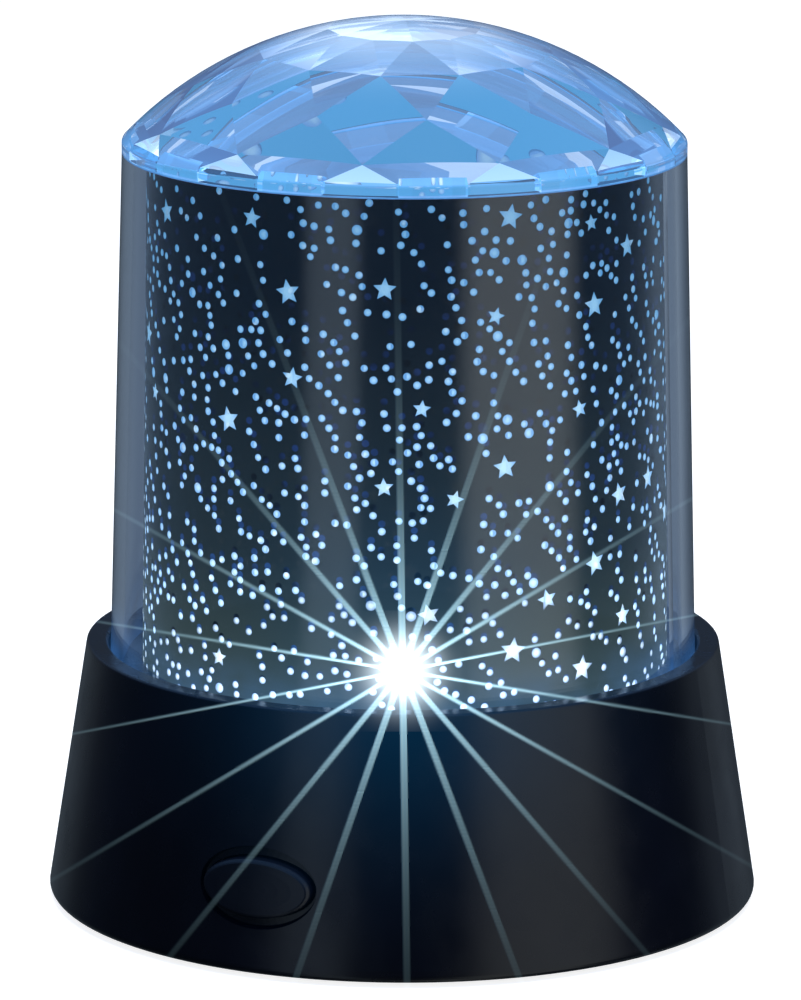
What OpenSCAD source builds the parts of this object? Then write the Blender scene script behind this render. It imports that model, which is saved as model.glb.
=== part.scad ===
// Star night light projector: a battery base with one push button, and a lift-off
// shade made of a clear tube, a printed star film and a clear lens with a brilliant cut inside.
// Millimetres. Z is up, the origin is on the table under the middle of the base,
// and the push button faces -Y.

/* [Base] */
// Diameter of the base where it meets the table
base_foot_d = 115; // [108:1:140]
// Height of the ledge round the shade above the table
base_h = 42.1; // [40:0.1:60]
// Width of the flat ledge between the shade and the rim
ledge_w = 3.5; // [2.5:0.1:6]
// Thickness of the housing wall
base_wall = 2.4; // [1.8:0.1:3]
// Rounding of the lower edge
foot_round = 1.2; // [0.4:0.1:2]
// Rounding of the top rim
rim_round = 0.5; // [0.2:0.1:0.8]
// Depth of the recess that takes the foot of the shade
seat_depth = 5; // [4:0.5:7]
// Width of the flat seat under the foot of the shade
seat_w = 7.6; // [6:0.2:9]
// Drop of the light dish from the seat to its middle
dish_drop = 4.1; // [2:0.1:5]
// Thickness of the seat and the dish
deck_t = 2; // [1.6:0.1:2.4]
// Distance from the inside of the foot to the middle of the screw posts
post_inset = 9.1; // [8:0.1:12]
// Diameter of the screw posts
post_d = 7; // [6:0.5:8]

/* [Shade] */
// Outer diameter of the clear tube at its foot
tube_foot_d = 94.9; // [88:0.1:104]
// Outer diameter of the clear tube at its top
tube_top_d = 90.2; // [80:0.1:94]
// Height of the clear tube
tube_h = 84.7; // [60:0.1:110]
// Wall of the clear tube
tube_wall = 2; // [1.5:0.1:2.6]
// Air gap between the tube and the star film at the top
film_gap = 2; // [1.2:0.1:2.4]
// Air gap between the tube and the star film at the foot
film_foot_gap = 3.2; // [1.2:0.1:3.4]
// Thickness of the star film
film_t = 0.3; // [0.2:0.05:0.4]
// Width of the strip where the rolled film laps over itself
film_lap = 8; // [4:1:14]
// Height of the ring that holds the film in the foot of the tube
retainer_h = 2.6; // [2:0.1:3.6]

/* [Lens] */
// Radius of the smooth outer dome
dome_r = 62.3; // [56:0.1:80]
// Height of the straight rim under the dome
lens_rim_h = 1.9; // [1.4:0.1:3]
// Rounding between the rim and the dome
lens_edge_round = 0.8; // [0.4:0.1:1.2]
// Thickness of the lens at the corners of its facets
lens_wall = 1.9; // [1.5:0.1:2.4]
// Number of main facets round the lens
facet_count = 12; // [8:1:16]
// Width of the row of small facets next to the rim
rim_row_w = 2.6; // [2:0.1:4]
// Width of the row of upright triangles above it
girdle_row_w = 7.7; // [5:0.1:9]
// Width of the row of star facets above those
star_row_w = 9.3; // [6:0.1:11]
// Width of the row of facets round the crown
crown_row_w = 11.3; // [6:0.1:13]
// Wall between the facets and the rim
lens_rim_t = 2.2; // [1.8:0.1:3]
// Height of the lugs inside the rim
lug_h = 2.2; // [1.5:0.1:2.6]
// Share of the round that the lugs take
lug_share = 0.47; // [0.3:0.01:0.6]

/* [Button] */
// Width of the oval push button
button_w = 18.4; // [14:0.2:22]
// Height of the oval push button
button_h = 9.2; // [7:0.1:11]
// Height of the middle of the button above the table
button_z = 14.2; // [12:0.1:18]
// How far the button stands out of the housing
button_proud = 1.2; // [0.8:0.1:1.8]
// Rounding of the edge of the button
button_round = 0.9; // [0.5:0.1:1.2]
// Travel of the button
button_travel = 1.5; // [0.8:0.1:1.5]
// Width of the sunk border above and below the button
button_border = 1.2; // [0.8:0.1:1.6]
// Width of the sunk border beside the button
side_border = 0.2; // [0.2:0.1:1.6]
// Depth of the sunk border
border_depth = 0.9; // [0.5:0.1:1.2]

/* [Batteries] */
// Diameter of one AA cell
cell_d = 14.3; // [13.5:0.1:14.5]
// Length of one AA cell with its nub
cell_l = 50.5; // [44:0.5:61]
// Space left for a contact spring when a cell is in
spring_room = 5.4; // [4:0.1:7]
// Thickness of the bottom plate
plate_t = 2.2; // [1.8:0.1:3]
// Thickness of the walls of the battery box
box_wall = 1.6; // [1.2:0.1:2]

/* [Feet] */
// Diameter of the rubber feet
foot_d = 9; // [6:0.5:11]
// Thickness of the rubber feet
foot_t = 1.6; // [1.2:0.1:2]
// How far the feet stand below the bottom plate
foot_stand = 0.6; // [0.4:0.1:1]

/* [Light] */
// Diameter of the body of the LED
led_d = 5; // [3:1:5]
// Height of the tip of the LED above the middle of the dish
led_rise = 5.1; // [3:0.1:6]
// Diameter of the LED board
led_board_d = 32; // [28:1:38]

/* [Clearances] */
// Gap between the foot of the shade and the wall of its recess
seat_gap = 0.3; // [0.2:0.05:0.5]
// Gap round the button
button_gap = 0.25; // [0.15:0.05:0.4]
// Gap round the battery door
door_gap = 0.25; // [0.15:0.05:0.4]
// Gap between pieces that plug into each other
fit_gap = 0.1; // [0.05:0.05:0.2]

/* [Hidden] */

$fn = 96;
eps = 0.01;

// Heights
plate_z = foot_stand;
plate_top = plate_z + plate_t;
seat_z = base_h - seat_depth;
dish_z = seat_z - dish_drop;
tube_top = seat_z + tube_h;

// Base radii
foot_r = base_foot_d / 2;
seat_r = tube_foot_d / 2 + seat_gap;
rim_r = seat_r + ledge_w;
seat_in_r = seat_r - seat_w;
function cone_r(z) = foot_r + (rim_r - foot_r) * (z - plate_z) / (base_h - plate_z);
function inner_r(z) = cone_r(z) - base_wall;
plate_r = cone_r(plate_z) - base_wall - fit_gap;
plate_seat_w = 1.8;
plate_seat_h = 2;
led_hole_d = led_d + 1.2;
dish_flat_r = 5;
seat_chamfer = 0.4;
foot_inset = 2.2;
foot_chamfer = 0.4;

// Screws
screw_d = 2.5;
screw_head_d = 5;
screw_head_h = 1.8;
screw_pocket_z = plate_z + 4;
screw_cup_t = 2;
screw_cup_wall = 1.5;
post_z = screw_pocket_z + screw_cup_t;
screw_l = 10;
pilot_l = 12;
post_count = 4;
post_r = foot_r - base_wall - post_inset;
screw_pocket_d = screw_head_d + 1;
screw_hole_d = screw_d + 0.5;
small_screw_d = 2;
small_head_d = 3.8;
small_head_h = 1.3;
small_hole_d = small_screw_d + 0.3;
small_pilot_l = 3;
small_grip_l = 2.6;
switch_pilot_l = 6;
switch_grip_l = 5;

// Shade radii
tube_taper = (tube_foot_d - tube_top_d) / 2 / tube_h;
function tube_r(z) = tube_foot_d / 2 - tube_taper * (z - seat_z);
film_z = seat_z + fit_gap + retainer_h / 2;
film_top = tube_top - fit_gap;
function film_r(z) = tube_r(z) - tube_wall - film_foot_gap
    + (film_foot_gap - film_gap) * (z - film_z) / (film_top - film_z);
retainer_lip = 1.4;
retainer_chamfer = 0.4;

// Lens facets, on a sphere inside the smooth dome
facet_r = dome_r - lens_wall;
facet_step = 360 / facet_count;
rim_row_r = tube_top_d / 2 - lens_rim_t;
low_r = rim_row_r - rim_row_w;
mid_r = low_r - girdle_row_w;
crown_r = mid_r - star_row_w;
table_r = crown_r - crown_row_w;
rim_row_drop = 0.3;
lug_bite = 0.2;
lug_root = 0.3;
rim_row_z = tube_top + lens_rim_h - rim_row_drop;
lens_sphere_z = tube_top + lens_rim_h - sqrt(pow(dome_r, 2) - pow(tube_top_d / 2, 2));
function facet_z(r) = lens_sphere_z + sqrt(pow(facet_r, 2) - pow(r, 2));
low_z = facet_z(low_r);
crown_z = facet_z(crown_r);
// The kites are flat: their side corners lie on the line from crown to low corner
mid_z = crown_z - (crown_z - low_z) * (mid_r * cos(facet_step / 2) - crown_r) / (low_r - crown_r);

// Button and switch
button_segments = 48;
pocket_flare = 1.2;
pocket_over = 0.8;
sleeve_t = 1.2;
sleeve_l = 2.4;
flange_t = 1;
flange_w = 0.9;
function wall_y(x, z, off) = -sqrt(pow(cone_r(z) + off, 2) - pow(x, 2));
button_wall_y = -inner_r(button_z);
sleeve_y = button_wall_y + sleeve_l;
flange_y = sleeve_y + fit_gap;
plunger_l = 2.9;
plunger_d = 4;
stem_y = flange_y + flange_t + plunger_l;
stem_w = 3;
stem_out = 2.8;
switch_w = 7;
switch_l = 5.6;
switch_floor_t = 1;
stem_stop = 0.4;
switch_y = stem_y + stem_out;
board_t = 1.6;
switch_board_y = switch_y + switch_l;
switch_board_w = 34;
switch_board_h = 13;
switch_post_x = 13.4;
switch_post_d = 5;

// Battery box, with three cells side by side
cell_count = 3;
cell_r = cell_d / 2;
bay_r = cell_r + 0.35;
cell_pitch = 2 * bay_r + 0.2;
cell_z = plate_top + bay_r;
nub_l = 1.3;
nub_d = 5.4;
contact_t = 0.4;
dimple_l = 0.9;
dimple_d = 4.4;
dimple_top_d = 3;
contact_w = 11;
box_in_l = cell_l + 2 * contact_t + dimple_l + spring_room;
box_in_w = (cell_count - 1) * cell_pitch + 2 * bay_r;
box_l = box_in_l + 2 * box_wall;
box_w = box_in_w + 2 * box_wall;
box_top = cell_z + bay_r + box_wall;
divider_z = cell_z + 2;
contact_low = plate_top + 2;
function cell_y(i) = (i - (cell_count - 1) / 2) * cell_pitch;
function cell_dir(i) = i % 2 == 0 ? 1 : -1;

// Battery door
door_l = box_in_l + 2;
door_w = box_in_w + 2;
door_corner_r = 2;
lobe_w = 12;
lobe_out = 2.6;
lobe_t = 4;
lobe_gap = door_gap + 0.1;
tongue_w = 8;
tongue_t = 1.2;
tongue_out = 1.9;
tongue_in = 3;
tongue_x = door_l / 4;
door_screw_y = -door_w / 2 - lobe_out;
door_screw_d = 2.6;
door_head_z = plate_z + 2;
door_screw_tip = plate_z + lobe_t + 2.6;
door_bore_gap = 0.3;
door_boss_h = 6;
door_head_h = 1.5;
door_head_gap = 0.3;
door_shank_gap = 0.08;
tongue_slot_h = 5;
tongue_slot_over = 4;
rib_t = 1.2;
rib_h = 0.3;
grip_rows = 5;
grip_pitch = 2.4;
grip_l = 12;
grip_w = 1;
grip_depth = 0.5;

// LED and its board
led_tip = dish_z + led_rise;
led_body_l = 8.6;
led_z = led_tip - led_body_l;
led_flange_t = 1;
led_flange_w = 0.4;
led_stand = 0.2;
led_board_z = led_z - led_stand - board_t;
led_lead_w = 0.5;
led_lead_x = 1.27;
led_lead_l = 3.4;
board_hole_d = 0.9;
board_screw_r = led_board_d / 2 - 3.5;
board_screw_count = 3;
board_boss_d = 5;
chip_size = [5, 4, 1.5];
chip_x = -9;
resistor_size = [3.2, 1.6, 0.6];
resistor_x = -3;
resistor_y = 7;
capacitor_d = 4;
capacitor_l = 4;
capacitor_place = [4.5, 7];

// Wires, as hand-laid routes
wire_r = 0.6;
wire_steps = 5;
tag_w = 3;
tag_l = 3;
tag_z = cell_z + 1;
board_low = led_board_z - 1;
wire_gap = 0.12;
plus_route = [
    [box_l / 2 + tag_l, cell_y(0), tag_z + wire_r + contact_t],
    [box_l / 2 + 5, cell_y(0), tag_z + 2],
    [box_l / 2 + 4, cell_y(0) + 5, box_top + 1],
    [18, -8, board_low - 3],
    [9, -5, board_low - 2.5],
    [8, -4.2, led_board_z - 2],
    [8, -4.2, led_board_z - 1],
    [8, -4.2, led_board_z - wire_gap]
];
minus_route = [for (p = plus_route) [-p[0], -p[1], p[2]]];

// ---------------------------------------------------------------- shared shapes

function unit(v) = v / norm(v);

// Points along an arc from angle a to angle b
function arc(c, r, a, b, n = 6) =
    [for (i = [0 : n]) let (t = a + (b - a) * i / n) c + r * [cos(t), sin(t)]];

// Points on an oval, w wide and h high
function oval_points(w, h) = [for (i = [0 : button_segments - 1])
    let (t = 360 * i / button_segments) [w / 2 * cos(t), h / 2 * sin(t)]];

// Catmull-Rom curve through hand-laid points
function spline_at(a, b, c, d, t) = 0.5 * (2 * b + (c - a) * t
    + (2 * a - 5 * b + 4 * c - d) * t * t + (3 * b - a - 3 * c + d) * t * t * t);
function spline(p) = let (n = len(p)) [
    for (i = [0 : n - 2]) for (s = [0 : wire_steps - 1])
        spline_at(p[max(i - 1, 0)], p[i], p[i + 1], p[min(i + 2, n - 1)], s / wire_steps),
    p[n - 1]
];

function tangent(p, i) = unit(p[min(i + 1, len(p) - 1)] - p[max(i - 1, 0)]);
function ring(c, t, side, r, n) = let (u = unit(cross(t, side)), w = cross(u, t))
    [for (k = [0 : n - 1]) c + r * (cos(360 * k / n) * u + sin(360 * k / n) * w)];

// Round bar that follows a path
module swept_bar(path, r, sides, side) {
    m = len(path);
    points = [for (i = [0 : m - 1]) each ring(path[i], tangent(path, i), side, r, sides)];
    walls = [for (i = [0 : m - 2]) for (k = [0 : sides - 1])
        let (a = i * sides + k, b = i * sides + (k + 1) % sides)
        each [[a, b, b + sides], [a, b + sides, a + sides]]];
    first = [for (k = [sides - 1 : -1 : 0]) k];
    last = [for (k = [0 : sides - 1]) (m - 1) * sides + k];
    polyhedron(points, concat(walls, [first], [last]));
}

// Upright bar with an oval section whose axis is along Y, from y to y + l
module oval_bar(w, h, y, l) {
    translate([0, y + l, button_z])
        rotate([90, 0, 0])
            linear_extrude(l)
                polygon(oval_points(w, h));
}

// Skin over an oval patch of the housing: rings of [width, height, offset from the cone]
function skin_ring(w, h, off) = [for (q = oval_points(w, h))
    [q[0], wall_y(q[0], button_z + q[1], off), button_z + q[1]]];

module lofted_rings(rings, front, back) {
    n = button_segments;
    m = len(rings);
    points = concat([for (r = rings) each r], [front], [back]);
    walls = [for (i = [0 : m - 2]) for (k = [0 : n - 1])
        let (a = i * n + k, b = i * n + (k + 1) % n)
        each [[a, b, b + n], [a, b + n, a + n]]];
    front_fan = [for (k = [0 : n - 1]) [m * n, (k + 1) % n, k]];
    back_fan = [for (k = [0 : n - 1])
        [m * n + 1, (m - 1) * n + k, (m - 1) * n + (k + 1) % n]];
    polyhedron(points, concat(walls, front_fan, back_fan));
}

module pan_screw(d, l, head_d, head_h) {
    cylinder(d = d, h = l);
    difference() {
        translate([0, 0, -head_h])
            cylinder(d = head_d, h = head_h);
        // Cross slot
        for (a = [0, 90])
            rotate(a)
                translate([-head_d * 0.3, -head_d * 0.06, -head_h - eps])
                    cube([head_d * 0.6, head_d * 0.12, head_h * 0.6]);
    }
}

module at_posts() {
    for (i = [0 : post_count - 1])
        rotate(45 + i * 360 / post_count)
            translate([post_r, 0, 0])
                children();
}

module at_board_screws() {
    for (i = [0 : board_screw_count - 1])
        rotate(30 + i * 360 / board_screw_count)
            translate([board_screw_r, 0, 0])
                children();
}

module at_feet() {
    for (i = [0 : 3])
        rotate(i * 90)
            translate([plate_r - foot_d / 2 - foot_inset, 0, 0])
                children();
}

// ---------------------------------------------------------------- base

module housing_skin() {
    slope = atan2(base_h - plate_z, foot_r - rim_r);
    outer = concat(
        arc([foot_r - foot_round, plate_z + foot_round], foot_round, -90, 90 - slope),
        arc([rim_r - rim_round, base_h - rim_round], rim_round, 90 - slope, 90));
    rotate_extrude()
        polygon(concat(outer, [
            [seat_r + seat_chamfer, base_h],
            [seat_r, base_h - seat_chamfer],
            [seat_r, seat_z],
            [seat_in_r, seat_z],
            [dish_flat_r, dish_z],
            [led_hole_d / 2, dish_z],
            [led_hole_d / 2, dish_z - deck_t],
            [dish_flat_r, dish_z - deck_t],
            [seat_in_r, seat_z - deck_t],
            [inner_r(seat_z - deck_t), seat_z - deck_t],
            [inner_r(plate_top + plate_seat_h), plate_top + plate_seat_h],
            [plate_r - plate_seat_w, plate_top + plate_seat_h],
            [plate_r - plate_seat_w, plate_top],
            [plate_r + fit_gap, plate_top],
            [plate_r + fit_gap, plate_z]
        ]));
}

// Everything inside the outer cone, to trim posts and ribs
module housing_envelope() {
    rotate_extrude()
        polygon([
            [0, plate_z],
            [cone_r(plate_z) - base_wall / 2, plate_z],
            [cone_r(seat_z - deck_t / 2) - base_wall / 2, seat_z - deck_t / 2],
            [seat_in_r, seat_z - deck_t / 2],
            [dish_flat_r, dish_z - deck_t / 2],
            [0, dish_z - deck_t / 2]
        ]);
}

module housing_posts() {
    intersection() {
        housing_envelope();
        union() {
            at_posts()
                translate([0, 0, post_z])
                    cylinder(d = post_d, h = seat_z - post_z);
            at_board_screws()
                translate([0, 0, led_board_z + board_t])
                    cylinder(d = board_boss_d, h = seat_z - led_board_z);
            for (x = [-switch_post_x, switch_post_x])
                translate([x, switch_board_y, button_z])
                    rotate([90, 0, 0])
                        cylinder(d = switch_post_d, h = foot_r);
            oval_bar(button_w + 2 * (button_gap + sleeve_t),
                button_h + 2 * (button_gap + sleeve_t),
                -foot_r, foot_r + sleeve_y);
        }
    }
}

module button_pocket() {
    pocket_w = button_w + 2 * (button_gap + side_border);
    pocket_h = button_h + 2 * (button_gap + button_border);
    lofted_rings([
        skin_ring(pocket_w + pocket_flare, pocket_h + pocket_flare, pocket_over),
        skin_ring(pocket_w, pocket_h, -border_depth)
    ],
        [0, wall_y(0, button_z, pocket_over), button_z],
        [0, wall_y(0, button_z, -border_depth), button_z]);
    oval_bar(button_w + 2 * button_gap, button_h + 2 * button_gap, -foot_r,
        foot_r + sleeve_y + eps);
}

module base_housing() {
    color("#14161b")
        difference() {
            union() {
                housing_skin();
                housing_posts();
            }
            button_pocket();
            at_posts()
                translate([0, 0, post_z - eps])
                    cylinder(d = screw_d, h = pilot_l);
            at_board_screws()
                translate([0, 0, led_board_z + board_t - eps])
                    cylinder(d = small_screw_d, h = small_pilot_l);
            for (x = [-switch_post_x, switch_post_x])
                translate([x, switch_board_y + eps, button_z])
                    rotate([90, 0, 0])
                        cylinder(d = small_screw_d, h = switch_pilot_l);
        }
}

module rounded_rect(l, w, r) {
    square([l - 2 * r, w], center = true);
    square([l, w - 2 * r], center = true);
    for (x = [-1, 1], y = [-1, 1])
        translate([x * (l / 2 - r), y * (w / 2 - r)])
            circle(r = r);
}

// The lobe of the battery door that its screw goes through
module door_lobe(g) {
    translate([0, door_screw_y])
        circle(r = lobe_w / 2 + g);
    translate([-lobe_w / 2 - g, door_screw_y])
        square([lobe_w + 2 * g, lobe_out + 1]);
}

module bottom_plate() {
    lobe_roof_z = plate_z + lobe_t + fit_gap;
    color("#1a1c20")
        difference() {
            union() {
                translate([0, 0, plate_z])
                    cylinder(r = plate_r, h = plate_t);
                translate([-box_l / 2, -box_w / 2, plate_z])
                    cube([box_l, box_w, box_top - plate_z]);
                // Cover over the lobe of the door, with the boss for its screw
                translate([0, 0, plate_z])
                    linear_extrude(lobe_roof_z + box_wall - plate_z)
                        door_lobe(lobe_gap + box_wall);
                translate([0, door_screw_y, plate_z])
                    cylinder(d = post_d, h = lobe_roof_z + door_boss_h - plate_z);
                at_posts()
                    translate([0, 0, plate_z])
                        cylinder(d = screw_pocket_d + 2 * screw_cup_wall, h = post_z - plate_z);
            }
            // Bays for the cells
            for (i = [0 : cell_count - 1])
                translate([-box_in_l / 2, cell_y(i), cell_z])
                    rotate([0, 90, 0])
                        cylinder(r = bay_r, h = box_in_l);
            translate([-box_in_l / 2, -box_in_w / 2, plate_z - 1])
                cube([box_in_l, box_in_w, divider_z - plate_z + 1]);
            // Door opening
            translate([0, 0, plate_z - 1])
                linear_extrude(plate_t + 1 + fit_gap)
                    rounded_rect(door_l + 2 * door_gap, door_w + 2 * door_gap,
                        door_corner_r + door_gap);
            translate([0, 0, plate_z - 1])
                linear_extrude(lobe_roof_z - plate_z + 1)
                    door_lobe(lobe_gap);
            translate([0, door_screw_y, plate_z])
                cylinder(d = door_screw_d + 2 * door_bore_gap, h = lobe_t + door_boss_h - 1);
            // Slots for the tongues of the door
            for (x = [-tongue_x, tongue_x])
                translate([x - tongue_w / 2 - door_gap, box_in_w / 2 - 1, plate_top - eps])
                    cube([tongue_w + 2 * door_gap, box_wall + tongue_slot_over, tongue_slot_h]);
            // Screw pockets
            at_posts() {
                translate([0, 0, plate_z - 1])
                    cylinder(d = screw_pocket_d, h = screw_pocket_z - plate_z + 1);
                cylinder(d = screw_hole_d, h = post_z + 1);
            }
            at_feet()
                translate([0, 0, plate_z - 1])
                    cylinder(d = foot_d + 2 * fit_gap, h = foot_t - foot_stand + 1);
            // Slots for the solder tags of the two end contacts
            for (a = [0, 180])
                rotate(a)
                    translate([box_in_l / 2 - eps, cell_y(0) - tag_w / 2 - fit_gap,
                        tag_z - fit_gap])
                        cube([box_wall + 1, tag_w + 2 * fit_gap, contact_t + 2 * fit_gap]);
        }
}

module housing_screws() {
    color("#9a9da3")
        at_posts()
            translate([0, 0, screw_pocket_z])
                pan_screw(screw_d, screw_l, screw_head_d, screw_head_h);
}

module rubber_feet() {
    color("#2a2b2e")
        at_feet()
            rotate_extrude()
                polygon([[0, 0], [foot_d / 2 - foot_chamfer, 0], [foot_d / 2, foot_chamfer],
                    [foot_d / 2, foot_t], [0, foot_t]]);
}

module battery_door() {
    color("#1a1c20")
        difference() {
            union() {
                translate([0, 0, plate_z])
                    linear_extrude(plate_t) {
                        rounded_rect(door_l, door_w, door_corner_r);
                        door_lobe(0);
                    }
                translate([0, door_screw_y, plate_z])
                    cylinder(d = lobe_w - 2, h = lobe_t);
                for (x = [-tongue_x, tongue_x])
                    translate([x - tongue_w / 2, door_w / 2 - tongue_in, plate_top - eps])
                        cube([tongue_w, tongue_in + tongue_out, tongue_t]);
                // Ribs that steady the cells
                for (x = [-1, 1])
                    translate([x * cell_l / 4 - rib_t / 2, -box_in_w / 2 + 1, plate_top - eps])
                        cube([rib_t, box_in_w - 2 - tongue_in, rib_h]);
            }
            // Gap over the bottom plate under the tongues
            for (x = [-tongue_x, tongue_x])
                translate([x - tongue_w / 2 - 1, door_w / 2, plate_top - 1])
                    cube([tongue_w + 2, tongue_out + 1, 1 + fit_gap]);
            translate([0, door_screw_y, plate_z - 1])
                cylinder(d = screw_head_d + 2 * door_head_gap, h = door_head_z - plate_z + 1);
            translate([0, door_screw_y, plate_z])
                cylinder(d = door_screw_d + 2 * door_shank_gap, h = lobe_t + 1);
            // Finger grip: a row of grooves
            for (i = [0 : grip_rows - 1])
                translate([(door_l / 2 - grip_l) / 2, (i - (grip_rows - 1) / 2) * grip_pitch - grip_w / 2,
                    plate_z - eps])
                    cube([grip_l, grip_w, grip_depth]);
        }
}

module door_screw() {
    color("#9a9da3")
        translate([0, door_screw_y, door_head_z])
            pan_screw(door_screw_d, door_screw_tip - door_head_z, screw_head_d, door_head_h);
}

// Places a child at cell i with its nub end towards +X or -X
module at_cell(i) {
    translate([0, cell_y(i), cell_z])
        rotate(cell_dir(i) > 0 ? 0 : 180)
            children();
}

nub_x = box_in_l / 2 - contact_t - dimple_l;

module aa_cells() {
    color("#8c9096")
        for (i = [0 : cell_count - 1])
            at_cell(i)
                translate([nub_x - cell_l, 0, 0])
                    rotate([0, 90, 0]) {
                        cylinder(r = cell_r, h = cell_l - nub_l);
                        cylinder(d = nub_d, h = cell_l - eps);
                    }
}

spring_wire_r = 0.35;
spring_turns = 4;
spring_steps = 14;
spring_big_r = 4.6;
spring_small_r = 2.6;

function spring_path(l) = let (n = spring_turns * spring_steps)
    [for (i = [0 : n]) let (
        t = i / n, a = 360 * spring_turns * t,
        r = spring_big_r + (spring_small_r - spring_big_r) * t)
        [l * t, r * cos(a), r * sin(a)]];

module contact_springs() {
    room = spring_room - 2 * spring_wire_r - 2 * fit_gap;
    color("#b9bcc2")
        for (i = [0 : cell_count - 1])
            at_cell(i)
                translate([-box_in_l / 2 + contact_t + spring_wire_r + fit_gap, 0, 0])
                    swept_bar(spring_path(room), spring_wire_r, 6, [1, 0, 0]);
}

// A plate behind cells a to b at the end s of the box, dimpled at the nub ends
module contact_plate(s, a, b) {
    plate_h = divider_z - fit_gap - contact_low;
    translate([s * (box_in_l / 2 - contact_t / 2) - contact_t / 2, cell_y(a) - contact_w / 2,
        contact_low])
        cube([contact_t, cell_y(b) - cell_y(a) + contact_w, plate_h]);
    for (i = [a : b])
        if (cell_dir(i) == s)
            translate([s * (box_in_l / 2 - contact_t), cell_y(i), cell_z])
                rotate([0, -90 * s, 0])
                    cylinder(d1 = dimple_d, d2 = dimple_top_d, h = dimple_l - fit_gap / 2);
    // Solder tag through the wall of the box
    if (a == b)
        translate([s > 0 ? box_in_l / 2 - contact_t : -box_l / 2 - tag_l,
            cell_y(a) - tag_w / 2, tag_z])
            cube([contact_t + box_wall + tag_l, tag_w, contact_t]);
}

module contact_plates() {
    color("#c8cacd") {
        contact_plate(1, 0, 0);
        contact_plate(-1, 0, 1);
        contact_plate(1, 1, 2);
        contact_plate(-1, 2, 2);
    }
}

// ---------------------------------------------------------------- light

module led_board() {
    color("#0f5a3a")
        difference() {
            translate([0, 0, led_board_z])
                cylinder(d = led_board_d, h = board_t);
            at_board_screws()
                translate([0, 0, led_board_z - 1])
                    cylinder(d = small_hole_d, h = board_t + 2);
            for (x = [-led_lead_x, led_lead_x])
                translate([x, 0, led_board_z - 1])
                    cylinder(d = board_hole_d, h = board_t + 2);
        }
}

module led_board_screws() {
    color("#9a9da3")
        at_board_screws()
            translate([0, 0, led_board_z])
                pan_screw(small_screw_d, board_t + small_grip_l, small_head_d, small_head_h);
}

module star_led() {
    color("#dfe8f5") {
        translate([0, 0, led_z])
            cylinder(d = led_d + 2 * led_flange_w, h = led_flange_t);
        translate([0, 0, led_z])
            cylinder(d = led_d, h = led_body_l - led_d / 2);
        translate([0, 0, led_tip - led_d / 2])
            sphere(d = led_d);
        for (x = [-led_lead_x, led_lead_x])
            translate([x - led_lead_w / 2, -led_lead_w / 2, led_z - led_lead_l])
                cube([led_lead_w, led_lead_w, led_lead_l + 0.5]);
    }
}

module board_parts() {
    z = led_board_z;
    color("#222222") {
        // Control chip
        translate([chip_x, -chip_size[1] / 2, z - chip_size[2]])
            cube(chip_size);
        // Resistors
        for (s = [-1, 1])
            translate([resistor_x, s * resistor_y - resistor_size[1] / 2, z - resistor_size[2]])
                cube(resistor_size);
        // Capacitor
        translate([capacitor_place[0], capacitor_place[1], z - capacitor_l])
            cylinder(d = capacitor_d, h = capacitor_l);
    }
}

// ---------------------------------------------------------------- switch and button

module switch_board() {
    color("#0f5a3a")
        difference() {
            translate([-switch_board_w / 2, switch_board_y, button_z - switch_board_h / 2])
                cube([switch_board_w, board_t, switch_board_h]);
            for (x = [-switch_post_x, switch_post_x])
                translate([x, switch_board_y - 1, button_z])
                    rotate([-90, 0, 0])
                        cylinder(d = small_hole_d, h = board_t + 2);
        }
}

module switch_board_screws() {
    color("#9a9da3")
        for (x = [-switch_post_x, switch_post_x])
            translate([x, switch_board_y + board_t, button_z])
                rotate([90, 0, 0])
                    pan_screw(small_screw_d, board_t + switch_grip_l, small_head_d, small_head_h);
}

module push_switch() {
    bore = stem_w + 2 * fit_gap;
    color("#303338")
        difference() {
            translate([-switch_w / 2, switch_y, button_z - switch_w / 2])
                cube([switch_w, switch_l, switch_w]);
            translate([-bore / 2, switch_y - eps, button_z - bore / 2])
                cube([bore, switch_l - switch_floor_t + eps, bore]);
        }
}

module switch_stem() {
    color("#e6e3da")
        translate([-stem_w / 2, stem_y, button_z - stem_w / 2])
            cube([stem_w, stem_out + switch_l - switch_floor_t - button_travel - stem_stop, stem_w]);
}

module star_button() {
    // Rounded edge, then a face that follows the housing
    edge = [for (a = [0 : 15 : 75])
        [button_round * (1 - cos(a)), button_proud - button_round * (1 - sin(a))]];
    face = [0.75, 0.5, 0.25];
    edge_end = edge[len(edge) - 1];
    w0 = button_w - 2 * edge_end[0];
    h0 = button_h - 2 * edge_end[0];
    back_y = flange_y + flange_t / 2;
    back_ring = [for (q = oval_points(button_w, button_h)) [q[0], back_y, button_z + q[1]]];
    rings = concat(
        [for (i = [len(face) - 1 : -1 : 0]) skin_ring(w0 * face[i], h0 * face[i], button_proud)],
        [for (i = [len(edge) - 1 : -1 : 0])
            skin_ring(button_w - 2 * edge[i][0], button_h - 2 * edge[i][0], edge[i][1])],
        [back_ring]);
    color("#101218") {
        lofted_rings(rings,
            [0, wall_y(0, button_z, button_proud), button_z],
            [0, back_y, button_z]);
        oval_bar(button_w + 2 * (button_gap + flange_w), button_h + 2 * (button_gap + flange_w),
            flange_y, flange_t);
        translate([0, stem_y, button_z])
            rotate([90, 0, 0])
                cylinder(d = plunger_d, h = plunger_l + flange_t / 2);
    }
}

module supply_wires() {
    color("#a02020")
        swept_bar(spline(plus_route), wire_r, 8, [0.2, 1, 0.1]);
    color("#222222")
        swept_bar(spline(minus_route), wire_r, 8, [0.2, 1, 0.1]);
}

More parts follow.
